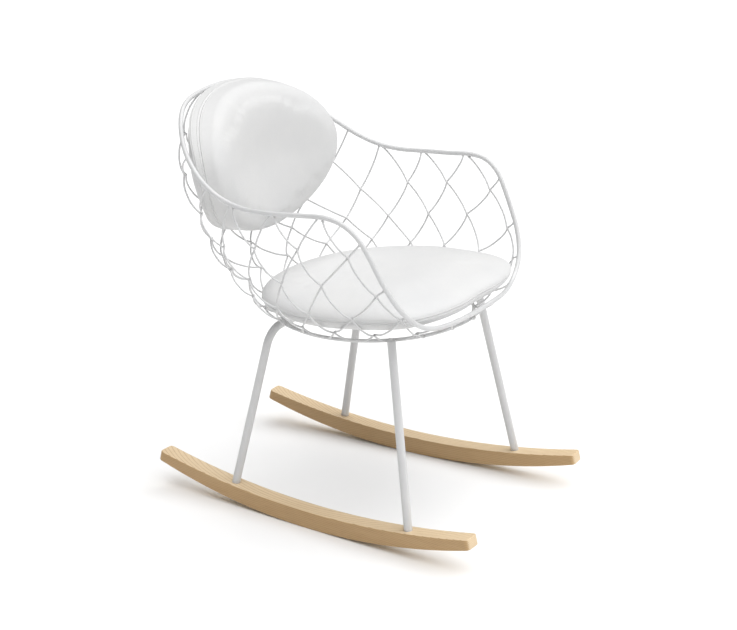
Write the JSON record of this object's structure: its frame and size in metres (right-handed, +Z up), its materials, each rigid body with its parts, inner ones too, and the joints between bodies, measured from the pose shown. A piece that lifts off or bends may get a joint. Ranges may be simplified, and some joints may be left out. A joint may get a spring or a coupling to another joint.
{
  "type": "wire basket rocking chair",
  "caption": "Rocking armchair: a bowed diamond lattice of white steel wire forms one basket seat on slim tube legs and pale wood rockers, with white leather seat and back cushions.",
  "frame": {"origin": "on the floor midway between the rockers, under the lowest point of their arcs", "axes": "+Z up, the chair faces -Y, +X towards the sitter's left"},
  "size_m": [0.5671, 0.7248, 0.7907],
  "materials": {
    "white_steel": "satin",
    "ash_wood": "satin",
    "white_leather": "satin",
    "screw_steel": "satin"
  },
  "bodies": {
    "root": {"rim_tube": "white_steel", "base_ring": "white_steel", "lattice_wire_a01": "white_steel", "lattice_wire_a02": "white_steel", "lattice_wire_a03": "white_steel", "lattice_wire_a04": "white_steel", "lattice_wire_a05": "white_steel", "lattice_wire_a06": "white_steel", "lattice_wire_a07": "white_steel", "lattice_wire_a08": "white_steel", "lattice_wire_a09": "white_steel", "lattice_wire_a10": "white_steel", "lattice_wire_a11": "white_steel", "lattice_wire_a12": "white_steel", "lattice_wire_a13": "white_steel", "lattice_wire_a14": "white_steel", "lattice_wire_a15": "white_steel", "lattice_wire_a16": "white_steel", "lattice_wire_a17": "white_steel", "lattice_wire_a18": "white_steel", "lattice_wire_b01": "white_steel", "lattice_wire_b02": "white_steel", "lattice_wire_b03": "white_steel", "lattice_wire_b04": "white_steel", "lattice_wire_b05": "white_steel", "lattice_wire_b06": "white_steel", "lattice_wire_b07": "white_steel", "lattice_wire_b08": "white_steel", "lattice_wire_b09": "white_steel", "lattice_wire_b10": "white_steel", "lattice_wire_b11": "white_steel", "lattice_wire_b12": "white_steel", "lattice_wire_b13": "white_steel", "lattice_wire_b14": "white_steel", "lattice_wire_b15": "white_steel", "lattice_wire_b16": "white_steel", "lattice_wire_b17": "white_steel", "lattice_wire_b18": "white_steel", "rear_leg_frame": "white_steel", "front_leg_left": "white_steel", "front_leg_right": "white_steel", "front_stub_left": "white_steel", "front_stub_right": "white_steel", "rocker_left": "ash_wood", "rocker_right": "ash_wood", "rocker_screws": "screw_steel", "leg_plugs": "screw_steel", "seat_cushion": "white_leather", "back_cushion": "white_leather"}
  },
  "joints": []
}
